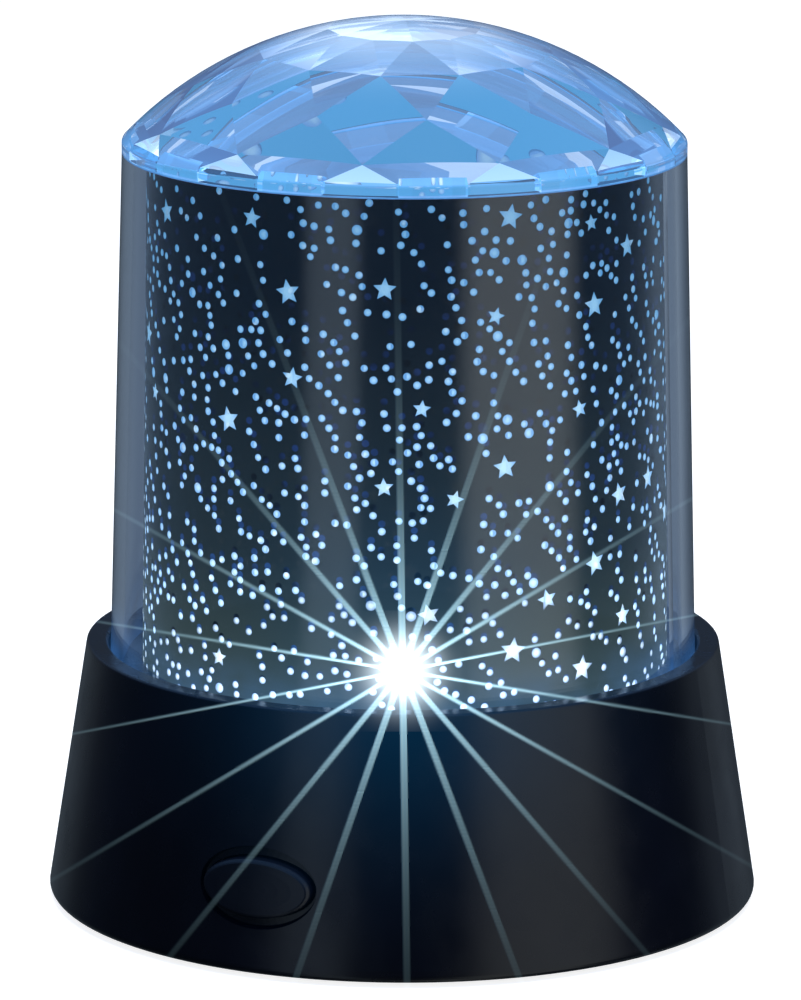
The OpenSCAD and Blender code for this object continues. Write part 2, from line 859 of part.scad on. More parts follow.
module switch_wires() {
    y = switch_board_y + board_t;
    for (s = [-1, 1])
        color("#d8d8d0")
            swept_bar(spline([
                [s * 4, y + wire_gap, button_z + 4],
                [s * 4, y + 1, button_z + 4],
                [s * 4, y + 2.4, button_z + 4],
                [s * 5, y + 8, box_top + 3],
                [s * 5, -13, board_low - 3],
                [s * 5, -8.8, board_low - 1.5],
                [s * 5, -8.5, led_board_z - 1],
                [s * 5, -8.5, led_board_z - wire_gap]
            ]), wire_r, 8, [1, 0.1, 0.1]);
}

// ---------------------------------------------------------------- shade

module shade_tube() {
    color("#bcd4f0", 0.4)
        rotate_extrude()
            polygon([
                [tube_r(seat_z), seat_z],
                [tube_r(tube_top), tube_top],
                [tube_r(tube_top) - tube_wall, tube_top],
                [tube_r(seat_z) - tube_wall, seat_z]
            ]);
}

module star_film() {
    low = film_z;
    color("#0b0d12") {
        rotate_extrude()
            polygon([
                [film_r(low), low],
                [film_r(film_top), film_top],
                [film_r(film_top) - film_t, film_top],
                [film_r(low) - film_t, low]
            ]);
        // The outer end of the rolled sheet, lapped over the seam at the back
        lap = film_lap / film_r(low) * 180 / PI;
        rotate([0, 0, 90 - lap / 2])
            rotate_extrude(angle = lap)
                polygon([
                    [film_r(low + retainer_h), low + retainer_h],
                    [film_r(film_top), film_top],
                    [film_r(film_top) + film_t, film_top],
                    [film_r(low + retainer_h) + film_t, low + retainer_h]
                ]);
    }
}

module film_retainer() {
    z = seat_z + fit_gap;
    groove_r = film_r(film_z);
    color("#1c1f24")
        rotate_extrude()
            polygon([
                [groove_r - film_t - retainer_lip, z],
                [tube_r(z) - tube_wall - fit_gap / 2, z],
                [tube_r(z + retainer_h) - tube_wall - fit_gap / 2, z + retainer_h],
                [groove_r + fit_gap / 2, z + retainer_h],
                [groove_r + fit_gap / 2, film_z],
                [groove_r - film_t - fit_gap / 2, film_z],
                [groove_r - film_t - fit_gap / 2, z + retainer_h],
                [groove_r - film_t - retainer_lip, z + retainer_h - retainer_chamfer]
            ]);
}

// Smooth outside of the lens: a straight rim, a small rounding and a spherical dome
module lens_outside() {
    e = lens_edge_round;
    rim = tube_top_d / 2;
    edge_z = sqrt(pow(dome_r - e, 2) - pow(rim - e, 2));
    edge_angle = atan2(edge_z, rim - e);
    intersection() {
        translate([0, 0, lens_sphere_z])
            sphere(r = dome_r, $fn = 180);
        rotate_extrude()
            polygon(concat(
                [[0, tube_top], [rim, tube_top]],
                arc([rim - e, lens_sphere_z + edge_z], e, 0, edge_angle),
                [[0, lens_sphere_z + dome_r / sin(edge_angle)]]));
    }
}

// Brilliant cut: twelve-fold facets on the inside of the lens
module lens_cut() {
    n = facet_count;
    function at(r, z, k) = [r * sin(k * facet_step), -r * cos(k * facet_step), z];
    half_rim = 0.25;
    base = [for (k = [0 : n - 1]) each [
        at(rim_row_r, tube_top - 1, k - half_rim), at(rim_row_r, tube_top - 1, k + half_rim)]];
    rim = [for (k = [0 : n - 1]) each [
        at(rim_row_r, rim_row_z, k - half_rim), at(rim_row_r, rim_row_z, k + half_rim)]];
    low = [for (k = [0 : n - 1]) at(low_r, low_z, k + 0.5)];
    mid = [for (k = [0 : n - 1]) at(mid_r, mid_z, k)];
    crown = [for (k = [0 : n - 1]) at(crown_r, crown_z, k + 0.5)];
    table = [for (k = [0 : n - 1]) at(table_r, facet_z(table_r), k)];
    i_rim = 2 * n;
    i_low = 4 * n;
    i_mid = 5 * n;
    i_crown = 6 * n;
    i_table = 7 * n;
    i_top = 8 * n;
    i_foot = 8 * n + 1;
    points = concat(base, rim, low, mid, crown, table,
        [[0, 0, facet_z(0)], [0, 0, tube_top - 1]]);
    faces = [for (k = [0 : n - 1]) let (next = (k + 1) % n, prev = (k + n - 1) % n) each [
        [i_foot, 2 * k, 2 * k + 1],
        [i_foot, 2 * k + 1, 2 * next],
        [2 * k, i_rim + 2 * k, i_rim + 2 * k + 1],
        [2 * k, i_rim + 2 * k + 1, 2 * k + 1],
        [2 * k + 1, i_rim + 2 * k + 1, i_rim + 2 * next],
        [2 * k + 1, i_rim + 2 * next, 2 * next],
        // Small triangle under a low corner
        [i_rim + 2 * k + 1, i_low + k, i_rim + 2 * next],
        // Trapezium between two low corners
        [i_rim + 2 * k, i_low + prev, i_low + k],
        [i_rim + 2 * k, i_low + k, i_rim + 2 * k + 1],
        // Upright triangle
        [i_low + prev, i_mid + k, i_low + k],
        // Kite
        [i_low + k, i_mid + k, i_crown + k],
        [i_low + k, i_crown + k, i_mid + next],
        // Star facet
        [i_mid + k, i_crown + prev, i_crown + k],
        // Crown facets
        [i_crown + prev, i_table + k, i_crown + k],
        [i_crown + k, i_table + k, i_table + next],
        [i_table + k, i_top, i_table + next]
    ]];
    polyhedron(points, faces);
}

module lens_dome() {
    lug_angle = 360 * lug_share / facet_count;
    lug_in_r = film_r(film_top) - film_t - lug_bite;
    lug_out_r = rim_row_r + lug_root;
    color("#a8ccf2", 0.5) {
        difference() {
            lens_outside();
            lens_cut();
        }
        for (k = [0 : facet_count - 1])
            rotate(-90 + k * facet_step - lug_angle / 2)
                rotate_extrude(angle = lug_angle)
                    translate([lug_in_r, tube_top])
                        square([lug_out_r - lug_in_r, lug_h]);
    }
}

base_housing();
bottom_plate();
housing_screws();
rubber_feet();
battery_door();
door_screw();
aa_cells();
contact_springs();
contact_plates();
led_board();
led_board_screws();
star_led();
board_parts();
switch_board();
switch_board_screws();
push_switch();
switch_stem();
star_button();
supply_wires();
switch_wires();
shade_tube();
star_film();
film_retainer();
lens_dome();
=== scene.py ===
"""Looks of the star night light: materials, printed film, light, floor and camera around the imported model."""
import math
import random

import bpy
from mathutils import Matrix, Vector
from mathutils.geometry import delaunay_2d_cdt


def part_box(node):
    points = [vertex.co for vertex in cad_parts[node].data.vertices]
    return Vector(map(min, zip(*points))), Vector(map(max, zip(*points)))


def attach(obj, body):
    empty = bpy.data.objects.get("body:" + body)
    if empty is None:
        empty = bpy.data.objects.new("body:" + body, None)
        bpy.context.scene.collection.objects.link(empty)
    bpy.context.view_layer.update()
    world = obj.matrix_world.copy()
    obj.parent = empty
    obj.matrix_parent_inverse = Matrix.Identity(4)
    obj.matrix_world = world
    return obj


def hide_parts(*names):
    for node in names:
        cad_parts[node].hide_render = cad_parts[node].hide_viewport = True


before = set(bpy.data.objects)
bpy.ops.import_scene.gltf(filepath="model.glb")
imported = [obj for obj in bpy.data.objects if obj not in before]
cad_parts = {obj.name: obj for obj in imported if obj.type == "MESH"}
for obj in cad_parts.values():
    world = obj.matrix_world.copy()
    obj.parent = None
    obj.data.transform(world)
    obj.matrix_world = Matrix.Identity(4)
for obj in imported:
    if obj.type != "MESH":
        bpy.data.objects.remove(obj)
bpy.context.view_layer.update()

MM = 0.001

# Camera, in the frame before it is turned about the object's axis
CAMERA_TURN = math.radians(24.2)
CAMERA_PLACE = Vector((-0.00107, -1.01895, 0.29266))
CAMERA_PITCH = 0.2201
CAMERA_YAW = 0.0006
CAMERA_ROLL = 0.0034
CAMERA_LENS = 232.85
CAMERA_SENSOR = 36.0

# Print of the film: dots in short chains, and stars
FILM_SEED = 11
DOT_COUNT = 2050
DOT_RADIUS = (0.55 * MM, 0.63 * MM)
BIG_DOT_RADIUS = 0.82 * MM
BIG_DOT_SHARE = 0.04
DOT_SIDES = 14
DOT_SPACING = 1.45 * MM
START_TRIES = 7
CHAIN_STEP = (1.55 * MM, 2.5 * MM)
CHAIN_LENGTH = (1, 4)
CHAIN_FALL = math.radians(-55)
CHAIN_SPREAD = math.radians(24)
STAR_COUNT = 58
STAR_RADIUS = (1.4 * MM, 2.2 * MM)
STAR_INNER = 0.47
STAR_SPACING = 9 * MM
# Painted reflections: faint blue marks painted on the print where the tube mirrors each lit dot
PAINTED_REFLECTION_RISE = 0.037           # how far a dot's painted reflection stands above it, per metre above the LED
PAINTED_REFLECTION_SIZE = 0.95
FILM_MARGIN = 1.0 * MM
FILM_THICKNESS = 0.3 * MM
FILM_LAP = 8 * MM
LAP_RISE = 4 * MM
ROLL_COLUMNS = 120

# Lit chip in the LED: its depth under the tip and its cup
CHIP_DEPTH = 1.8 * MM
CHIP_RADIUS = 0.40 * MM
CUP_RADIUS = 1.2 * MM
CUP_DEPTH = 0.5 * MM
POST_RADIUS = 0.3 * MM
CHIP_SIDES = 24
CHIP_PROFILE = ((0.0, 0.01), (0.9, 0.01), (1.0, 0.6), (0.7, 1.0), (0.0, 1.2))    # in chip radii
CHIP_EDGE_LIGHT = 900.0
CHIP_TOP_LIGHT = 3.5

# Light that the clear mouldings scatter, painted as glow: haze glow of the lens's outer skin, glow of its
# cut inside, and glow of the tube's foot
LENS_SKIN = 0.4 * MM
LENS_HAZE_GLOW = (0.022, 0.036, 0.085)
LENS_WHITE = (0.66, 0.83, 1.0)
LENS_BLUE = (0.10, 0.42, 0.92)
CROWN_GLOW = (0.38, 0.09)    # at the crown and past it
CROWN_REACH = (0.25, 0.62)   # where that fall begins and ends, as shares of the lens's radius
FACET_SHARE = (0.35, 1.5)
EDGE_GLOW = 0.10
RIM_GLOW = 0.4
RIM_SLOPE = (0.6, 0.72)      # upright share of the normal of the rim's triangles
TUBE_BLUE = (0.10, 0.34, 0.90)
TUBE_GLOW = 0.07
TUBE_GLOW_RISE = 14 * MM

# Film: how far each side covers what is behind it
PRINT_ALPHA = 0.993
WINDOW_ALPHA = 0.35

CELL_LENGTH = 50.5 * MM
STEEL = (0.62, 0.63, 0.65)

# Room that the object reflects: azimuth round the object from the button's side, half width and soft edge
# in degrees, colour
SOFT_BOXES = (
    (73.0, 23.0, 7.0, (0.52, 0.56, 0.56)),
    (-5.0, 9.5, 5.0, (0.31, 0.38, 0.44)),
    (160.0, 16.0, 8.0, (0.08, 0.10, 0.12)),
    (-128.0, 14.0, 6.0, (0.034, 0.044, 0.053)),
    (-156.0, 50.0, 20.0, (0.031, 0.038, 0.045)),
)
ROOM_COLOUR = (0.018, 0.025, 0.034)
OVERHEAD_COLOUR = (0.15, 0.32, 0.64)
SEEN_THROUGH = (             # by height, 0 straight below and 1 straight above
    (0.50, (0.05, 0.08, 0.13)),
    (0.62, (0.06, 0.17, 0.37)),
    (0.80, (0.02, 0.12, 0.22)),
    (1.0, (0.10, 0.18, 0.24)),
)

FLOOR_SIZE = 8.0
FLOOR_GLOW = 0.86
OVERHEAD_PLACE = (0.0, 0.1, 0.9)
OVERHEAD_ENERGY = 9.0
OVERHEAD_SIZE = 0.8
LED_GLOW_ENERGY = 0.05
LED_GLOW_RISE = 1.5 * MM
LED_GLOW_RADIUS = 1.0 * MM

# Glare of the lit LED in the camera's lens, in pixels of the photograph's frame
GLARE_THRESHOLD = 2.5
GLARE_CAP = 2.5              # most that one pixel adds, so that the bare LED doesn't flood the picture
CORE_BLUR = 60
HALO_BLUR = 300
STREAK_BLUR = 1
STREAK_TURNS = (10.8, 30.8)
STREAK_FADE = 0.988
CORE_LIGHT = (131.0, 139.0, 143.0)
HALO_LIGHT = (0.0, 38.0, 94.0)
STREAK_LIGHT = (4.0, 6.2, 7.0)


# ---------------------------------------------------------------- node trees

class Graph:
    """Short forms for building a node tree."""

    def __init__(self, tree, prefix="ShaderNode"):
        self.tree = tree
        self.prefix = prefix

    def fill(self, node, inputs):
        """Sets a node's inputs: a value is set, and a node or a socket is linked."""
        for name, value in inputs.items():
            if isinstance(value, bpy.types.Node):
                value = value.outputs[0]
            if isinstance(value, bpy.types.NodeSocket):
                self.tree.links.new(value, node.inputs[name])
            else:
                node.inputs[name].default_value = value
        return node

    def add(self, kind, inputs=None, **settings):
        node = self.tree.nodes.new(self.prefix + kind)
        for name, value in settings.items():
            setattr(node, name, value)
        return self.fill(node, inputs or {})

    def math(self, operation, a, b=0.0, clamp=False):
        return self.add("Math", {0: a, 1: b}, operation=operation, use_clamp=clamp)

    def place(self):
        """Where a point lies on its piece, in metres."""
        return self.add("TexCoord").outputs["Object"]

    def noise(self, scale, detail=3.0, roughness=0.5, vector=None):
        return self.add("TexNoise", {
            "Vector": vector or self.place(),
            "Scale": scale,
            "Detail": detail,
            "Roughness": roughness,
        }).outputs["Fac"]

    def ramp(self, factor, stops, interpolation="LINEAR"):
        """Colour along stops of (place, colour)."""
        node = self.add("ValToRGB", {"Fac": factor})
        ramp = node.color_ramp
        ramp.interpolation = interpolation
        while len(ramp.elements) < len(stops):
            ramp.elements.new(0.5)
        for element, (place, colour) in zip(ramp.elements, stops):
            element.position = place
            element.color = (*colour, 1.0)
        return node.outputs["Color"]

    def spread(self, factor, low, high, start=0.0, end=1.0, smooth=False):
        """The factor's stretch from start to end mapped to low..high."""
        return self.add("MapRange", {
            "Value": factor,
            "From Min": start,
            "From Max": end,
            "To Min": low,
            "To Max": high,
        }, interpolation_type="SMOOTHSTEP" if smooth else "LINEAR").outputs["Result"]

    def mixed(self, factor, a, b):
        """Colour between a and b."""
        return self.add("Mix", {"Factor": factor, "A": a, "B": b}, data_type="RGBA").outputs["Result"]

    def bump(self, height, distance, strength=1.0):
        return self.add("Bump", {"Height": height, "Distance": distance, "Strength": strength})

    def axis(self, vector, name):
        return self.add("SeparateXYZ", {"Vector": vector}).outputs[name]


def new_material(name):
    material = bpy.data.materials.new(name)
    material.use_nodes = True
    graph = Graph(material.node_tree)
    return material, graph, material.node_tree.nodes["Principled BSDF"]


# ---------------------------------------------------------------- materials

def black_plastic(name, gloss, grain):
    """Moulded black plastic: gloss is its roughness, grain the depth of its texture in metres."""
    material, g, shader = new_material(name)
    flow = g.noise(35.0, 4.0)
    g.fill(shader, {
        "Base Color": g.ramp(flow, [(0.35, (0.0022, 0.0028, 0.0075)), (0.7, (0.0046, 0.0058, 0.0150))]),
        "Roughness": g.spread(g.noise(160.0, 5.0), gloss - 0.04, gloss + 0.06, 0.3, 0.7),
        "Normal": g.bump(g.noise(2600.0, 2.0), grain),
    })
    shader.inputs["IOR"].default_value = 1.5
    return material


def clear_plastic(name, tint):
    """Clear moulded plastic with a faint haze. Returns the material, its graph and its shader."""
    material, g, shader = new_material(name)
    g.fill(shader, {
        "Base Color": (*tint, 1.0),
        "Roughness": g.spread(g.noise(60.0, 3.0), 0.0, 0.015),
        "Normal": g.bump(g.noise(45.0, 1.0), 0.02 * MM),
    })
    shader.inputs["Transmission Weight"].default_value = 1.0
    shader.inputs["IOR"].default_value = 1.49
    return material, g, shader


def tube_plastic(name, tint):
    """Clear plastic that carries a little of the LED's light in its foot."""
    material, g, shader = clear_plastic(name, tint)
    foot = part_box("shade_tube")[0].z
    glow = g.spread(g.axis(g.place(), "Z"), 1.0, 0.0, foot, foot + TUBE_GLOW_RISE, smooth=True)
    glow = g.math("MULTIPLY", glow, g.spread(g.noise(120.0, 3.0), 0.4, 1.6, 0.35, 0.65))
    g.fill(shader, {
        "Emission Color": (*TUBE_BLUE, 1.0),
        "Emission Strength": g.math("MULTIPLY", glow, TUBE_GLOW),
    })
    return material


def lens_plastic(name, tint):
    """Clear plastic whose cut inside catches the LED: most on the crown and the rim's triangles, and
    differently from facet to facet."""
    material, g, shader = clear_plastic(name, tint)
    low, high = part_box("lens_dome")
    rise = high.z - low.z
    sphere = (high.x ** 2 + rise ** 2) / (2 * rise)
    place = g.place()
    middle = (0.0, 0.0, high.z - sphere)
    centre = g.add("VectorMath", {0: place, 1: middle}, operation="DISTANCE").outputs["Value"]
    inside = g.math("LESS_THAN", centre, sphere - LENS_SKIN)
    flat = g.add("VectorMath", {0: place, 1: (1.0, 1.0, 0.0)}, operation="MULTIPLY")
    out = g.add("VectorMath", {0: flat}, operation="LENGTH").outputs["Value"]
    normal = g.add("NewGeometry").outputs["True Normal"]
    facet = g.noise(6.0, 1.0, vector=normal)
    slope = g.math("ABSOLUTE", g.axis(normal, "Z"))
    rim = g.math("GREATER_THAN", slope, RIM_SLOPE[0])
    rim = g.math("MULTIPLY", rim, g.math("LESS_THAN", slope, RIM_SLOPE[1]))
    crown_start, crown_end = (share * high.x for share in CROWN_REACH)
    glow = g.spread(out, *CROWN_GLOW, crown_start, crown_end, smooth=True)
    glow = g.math("MULTIPLY", glow, g.spread(facet, *FACET_SHARE, 0.4, 0.6))
    edge = g.spread(g.axis(place, "Z"), EDGE_GLOW, 0.0, low.z + 1 * MM, low.z + 3.5 * MM)
    glow = g.math("ADD", glow, edge)
    glow = g.math("ADD", glow, g.math("MULTIPLY", rim, RIM_GLOW))
    colour = g.ramp(g.spread(out, 0.0, 1.0, 0.0, high.x), [(0.3, LENS_WHITE), (0.65, LENS_BLUE)])
    colour = g.mixed(rim, colour, (*LENS_WHITE, 1.0))
    g.fill(shader, {
        # outer skin: painted haze glow; cut inside: painted glow of the LED's light, with painted glints on the
        # rim's triangles
        "Emission Color": g.mixed(inside, (*LENS_HAZE_GLOW, 1.0), colour),
        "Emission Strength": g.add("Mix", {"Factor": inside, "A": 1.0, "B": glow}).outputs["Result"],
    })
    return material


def film_print(name, low_z, high_z, ghost=0.0):
    """Black print on glossy film. A little light comes through it, and more of it low down, near the LED.
    A painted reflection is a faint blue glow painted on the print, where the tube mirrors a lit dot."""
    material, g, shader = new_material(name)
    height = g.spread(g.axis(g.place(), "Z"), 0.0, 1.0, low_z, high_z)
    glow = g.ramp(height, [
        (0.0, (0.044, 0.070, 0.060)), (0.3, (0.010, 0.019, 0.021)), (0.8, (0.0, 0.002, 0.006))])
    # painted reflection: a blue glow by height, in speckles, in place of the print's own glow
    if ghost:
        glow = g.ramp(height, [
            (0.0, (0.03, 0.11, 0.34)), (0.5, (0.010, 0.032, 0.13)), (1.0, (0.001, 0.005, 0.03))])
    g.fill(shader, {
        "Base Color": g.ramp(g.noise(50.0), [(0.3, (0.002, 0.0028, 0.0045)), (0.7, (0.006, 0.0055, 0.006))]),
        "Roughness": g.spread(g.noise(90.0), 0.16, 0.26),
        "Normal": g.bump(g.noise(28.0, 2.0), 0.08 * MM),
        "Emission Color": glow,
        "Emission Strength": g.spread(g.noise(260.0, 1.0), 0.0, ghost, 0.38, 0.62) if ghost else 1.0,
        "Alpha": PRINT_ALPHA,
    })
    return material


def film_lining(low_z, high_z):
    """The milky side of the film that faces the LED, lit by it. Seen from behind it is clear."""
    material, g, shader = new_material("film_lining")
    height = g.spread(g.axis(g.place(), "Z"), 0.0, 1.0, low_z, high_z)
    g.fill(shader, {
        "Base Color": (0.02, 0.04, 0.08, 1.0),
        "Roughness": g.spread(g.noise(90.0), 0.4, 0.6),
        "Emission Color": g.ramp(height, [
            (0.0, (0.30, 0.60, 0.95)), (0.3, (0.18, 0.48, 0.90)),
            (0.65, (0.08, 0.33, 0.60)), (1.0, (0.05, 0.26, 0.46))]),
        "Emission Strength": g.spread(height, 1.0, 0.9),
        "Alpha": g.math("SUBTRACT", 1.0, g.add("NewGeometry").outputs["Backfacing"]),
    })
    return material


def film_window(low_z, high_z):
    """Clear places in the print, lit from behind: whitest low down, near the LED, and bluer at their rims."""
    material, g, shader = new_material("film_window")
    height = g.spread(g.axis(g.place(), "Z"), 0.0, 1.0, low_z, high_z)
    colour = g.ramp(height, [
        (0.0, (0.80, 0.95, 1.0)), (0.35, (0.60, 0.80, 0.88)),
        (0.7, (0.38, 0.62, 0.78)), (1.0, (0.22, 0.44, 0.66))])
    rim = g.add("Attribute", attribute_name="rim").outputs["Fac"]
    edge = g.mixed(g.spread(rim, 0.0, 0.75, 0.35, 1.0), colour, (0.02, 0.16, 0.50, 1.0))
    g.fill(shader, {
        "Base Color": (0.03, 0.06, 0.10, 1.0),
        "Roughness": g.spread(g.noise(90.0), 0.10, 0.20),
        "Emission Color": edge,
        "Emission Strength": g.math("ADD", g.spread(height, 2.2, 1.1), g.spread(height, 1.2, 0.0, 0.0, 0.3)),
        "Alpha": WINDOW_ALPHA,
    })
    return material


def led_epoxy():
    material, g, shader = new_material("led_lens")
    g.fill(shader, {
        "Base Color": (0.93, 0.97, 1.0, 1.0),
        "Roughness": g.spread(g.noise(400.0), 0.0, 0.03),
    })
    shader.inputs["Transmission Weight"].default_value = 1.0
    shader.inputs["IOR"].default_value = 1.5
    return material


def lit_chip():
    """The chip: its edges shine far more than its coated top."""
    material, g, shader = new_material("led_chip")
    up = g.axis(g.add("NewGeometry").outputs["True Normal"], "Z")
    g.fill(shader, {
        "Base Color": (0.9, 0.85, 0.4, 1.0),
        "Emission Color": (0.75, 0.92, 1.0, 1.0),
        "Emission Strength": g.spread(up, CHIP_EDGE_LIGHT, CHIP_TOP_LIGHT, 0.5, 0.8),
    })
    return material


def rubber():
    material, g, shader = new_material("rubber")
    g.fill(shader, {
        "Base Color": g.ramp(g.noise(300.0, 5.0), [
            (0.3, (0.012, 0.012, 0.013)), (0.7, (0.028, 0.027, 0.027))]),
        "Roughness": g.spread(g.noise(700.0), 0.6, 0.85),
        "Normal": g.bump(g.noise(2200.0, 4.0), 0.05 * MM),
    })
    return material


def plated_steel(name, colour, rough):
    material, g, shader = new_material(name)
    brushed = g.add("Mapping", {"Vector": g.place(), "Scale": (1.0, 1.0, 9.0)})
    g.fill(shader, {
        "Base Color": g.ramp(g.noise(500.0, 4.0), [(0.3, tuple(0.8 * c for c in colour)), (0.7, colour)]),
        "Metallic": 1.0,
        "Roughness": g.spread(g.noise(1500.0, 3.0, vector=brushed.outputs[0]), rough - 0.08, rough + 0.12),
    })
    return material


def cell_wrap():
    """Printed jacket of the cells: charcoal body, copper-coloured plus end, bare steel caps. The middle
    cell points the other way."""
    material, g, shader = new_material("cell_jacket")
    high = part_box("aa_cells")[1]
    place = g.place()
    middle = g.math("LESS_THAN", g.math("ABSOLUTE", g.axis(place, "Y")), high.y / 3)
    along = g.math("MULTIPLY", g.axis(place, "X"), g.spread(middle, 1.0, -1.0))
    along = g.spread(along, 0.0, 1.0, high.x - CELL_LENGTH, high.x)
    bands = g.add("Mix", {
        "Factor": g.spread(g.noise(220.0), 0.0, 0.25),
        "A": g.ramp(along, [
            (0.0, STEEL), (0.02, (0.018, 0.019, 0.022)), (0.69, (0.55, 0.55, 0.52)),
            (0.705, (0.62, 0.27, 0.12)), (0.955, STEEL)], "CONSTANT"),
        "B": (0.05, 0.045, 0.04, 1.0),
    }, data_type="RGBA")
    g.fill(shader, {
        "Base Color": bands.outputs["Result"],
        "Roughness": g.spread(g.noise(120.0), 0.22, 0.34),
        "Metallic": g.axis(g.ramp(along, [
            (0.0, (1.0, 1.0, 1.0)), (0.02, (0.1, 0.1, 0.1)), (0.705, (0.8, 0.8, 0.8)),
            (0.955, (1.0, 1.0, 1.0))], "CONSTANT"), "X"),
        "Normal": g.bump(g.noise(900.0, 2.0), 0.006 * MM),
    })
    return material


def circuit_board():
    material, g, shader = new_material("circuit_board")
    tracks = g.add("TexVoronoi", {"Vector": g.place(), "Scale": 420.0}, distance="MANHATTAN",
                   feature="DISTANCE_TO_EDGE")
    line = g.math("LESS_THAN", tracks.outputs["Distance"], 0.08)
    g.fill(shader, {
        "Base Color": g.ramp(line, [(0.0, (0.010, 0.075, 0.035)), (1.0, (0.020, 0.150, 0.060))]),
        "Roughness": g.spread(g.noise(600.0), 0.25, 0.4),
        "Normal": g.bump(line, 0.03 * MM),
    })
    return material


def board_components():
    """Chip, resistors with tinned ends and a sleeved capacitor, told apart by where they lie on the board."""
    material, g, shader = new_material("board_components")
    x, y, z = (g.axis(g.place(), name) for name in "XYZ")
    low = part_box("board_parts")[0]
    sleeve = g.math("GREATER_THAN", x, 2.4 * MM)
    tin = g.math("GREATER_THAN", g.math("ABSOLUTE", g.math("ADD", x, 1.4 * MM)), 1.1 * MM)
    tin = g.math("MULTIPLY", tin, g.math("GREATER_THAN", g.math("ABSOLUTE", y), 5.5 * MM))
    tin = g.math("MULTIPLY", tin, g.math("LESS_THAN", x, 0.4 * MM))
    tin = g.math("MULTIPLY", tin, g.math("GREATER_THAN", x, -3.2 * MM))
    can = g.math("MULTIPLY", sleeve, g.math("LESS_THAN", z, low.z + 0.25 * MM))
    metal = g.math("MAXIMUM", tin, can)
    stripe = g.math("MULTIPLY", sleeve, g.math("GREATER_THAN", x, 5.8 * MM))
    body = g.mixed(sleeve, (0.012, 0.012, 0.013, 1.0), (0.02, 0.03, 0.10, 1.0))
    body = g.mixed(stripe, body, (0.45, 0.48, 0.55, 1.0))
    g.fill(shader, {
        "Base Color": g.mixed(metal, body, (*STEEL, 1.0)),
        "Metallic": metal,
        "Roughness": g.spread(g.noise(500.0), 0.28, 0.45),
        "Normal": g.bump(g.noise(1800.0, 2.0), 0.01 * MM),
    })
    return material


def wire_sleeves(name, plus, minus):
    """Insulation of a pair of wires: one colour on each side of the object."""
    material, g, shader = new_material(name)
    side = g.math("GREATER_THAN", g.axis(g.place(), "X"), 0.0)
    colour = g.add("Mix", {"Factor": side, "A": (*minus, 1.0), "B": (*plus, 1.0)}, data_type="RGBA")
    g.fill(shader, {
        "Base Color": colour.outputs["Result"],
        "Roughness": g.spread(g.noise(500.0), 0.34, 0.5),
        "Normal": g.bump(g.noise(900.0, 2.0), 0.01 * MM),
    })
    return material


def plain_moulding(name, dark, light, rough):
    material, g, shader = new_material(name)
    g.fill(shader, {
        "Base Color": g.ramp(g.noise(260.0, 4.0), [(0.3, dark), (0.7, light)]),
        "Roughness": g.spread(g.noise(500.0), rough - 0.06, rough + 0.08),
        "Normal": g.bump(g.noise(1800.0, 2.0), 0.01 * MM),
    })
    return material


def dress(material, *names):
    """Gives CAD nodes their material."""
    for name in names:
        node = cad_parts[name]
        node.data.materials.clear()
        node.data.materials.append(material)


# ---------------------------------------------------------------- printed film

def film_radius_at():
    """Returns a function: the film's outside radius at a height."""
    low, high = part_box("star_film")
    ends = []
    for edge in (low.z, high.z):
        ring = [math.hypot(v.co.x, v.co.y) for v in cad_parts["star_film"].data.vertices
                if abs(v.co.z - edge) < 0.05 * MM and v.co.y < 0.0]
        ends.append(max(ring))
    return lambda z: ends[0] + (ends[1] - ends[0]) * (z - low.z) / (high.z - low.z)


class Scatter:
    """Marks on the rolled sheet, sorted into squares for a quick search of near ones."""

    CELL = 5 * MM

    def __init__(self, turn):
        self.turn = turn
        self.columns = max(1, int(turn / self.CELL))
        self.cells = {}
        self.marks = []

    def cell(self, u, v):
        return int((u / self.turn + 0.5) * self.columns) % self.columns, int(v / self.CELL)

    def add(self, u, v, radius, star, room):
        self.marks.append((u, v, radius, star))
        self.cells.setdefault(self.cell(u, v), []).append((u, v, room))

    def gap(self, u, v):
        """Free distance to the nearest mark's own room, at most a square's side."""
        column, row = self.cell(u, v)
        best = self.CELL
        for i in (-1, 0, 1):
            for j in (-1, 0, 1):
                for other_u, other_v, room in self.cells.get(((column + i) % self.columns, row + j), ()):
                    du = abs(u - other_u)
                    best = min(best, math.hypot(min(du, self.turn - du), v - other_v) - room)
        return best


def scatter_print(rng, turn, low, high, first_dot):
    """The dot before the LED, then stars, then chains of dots: (u, v, radius, star) on the flat sheet."""
    sheet = Scatter(turn)
    sheet.add(*first_dot, BIG_DOT_RADIUS, False, DOT_SPACING / 2)
    seam = turn / 2 - FILM_LAP

    def add_dot(u, v):
        radius = BIG_DOT_RADIUS if rng.random() < BIG_DOT_SHARE else rng.uniform(*DOT_RADIUS)
        sheet.add(u, v, radius, False, DOT_SPACING / 2)

    stars = []
    while len(stars) < STAR_COUNT:
        u, v = rng.uniform(-seam, seam), rng.uniform(low + STAR_RADIUS[1], high - STAR_RADIUS[1])
        apart = all(math.hypot(u - a, v - b) > STAR_SPACING for a, b in stars)
        if sheet.gap(u, v) > STAR_RADIUS[1] and apart:
            stars.append((u, v))
            radius = rng.uniform(*STAR_RADIUS)
            sheet.add(u, v, radius, True, radius * 0.9)
    while len(sheet.marks) < STAR_COUNT + DOT_COUNT:
        tries = [(rng.uniform(-seam, seam), rng.uniform(low, high)) for _ in range(START_TRIES)]
        u, v = max(tries, key=lambda place: sheet.gap(*place))
        heading = rng.gauss(CHAIN_FALL, CHAIN_SPREAD)
        for _ in range(rng.randint(*CHAIN_LENGTH)):
            if not (low < v < high and abs(u) < seam and sheet.gap(u, v) > DOT_SPACING / 2):
                break
            add_dot(u, v)
            step = rng.uniform(*CHAIN_STEP)
            u += step * math.cos(heading)
            v += step * math.sin(heading)
            heading = rng.gauss(CHAIN_FALL, CHAIN_SPREAD)
    return sheet.marks


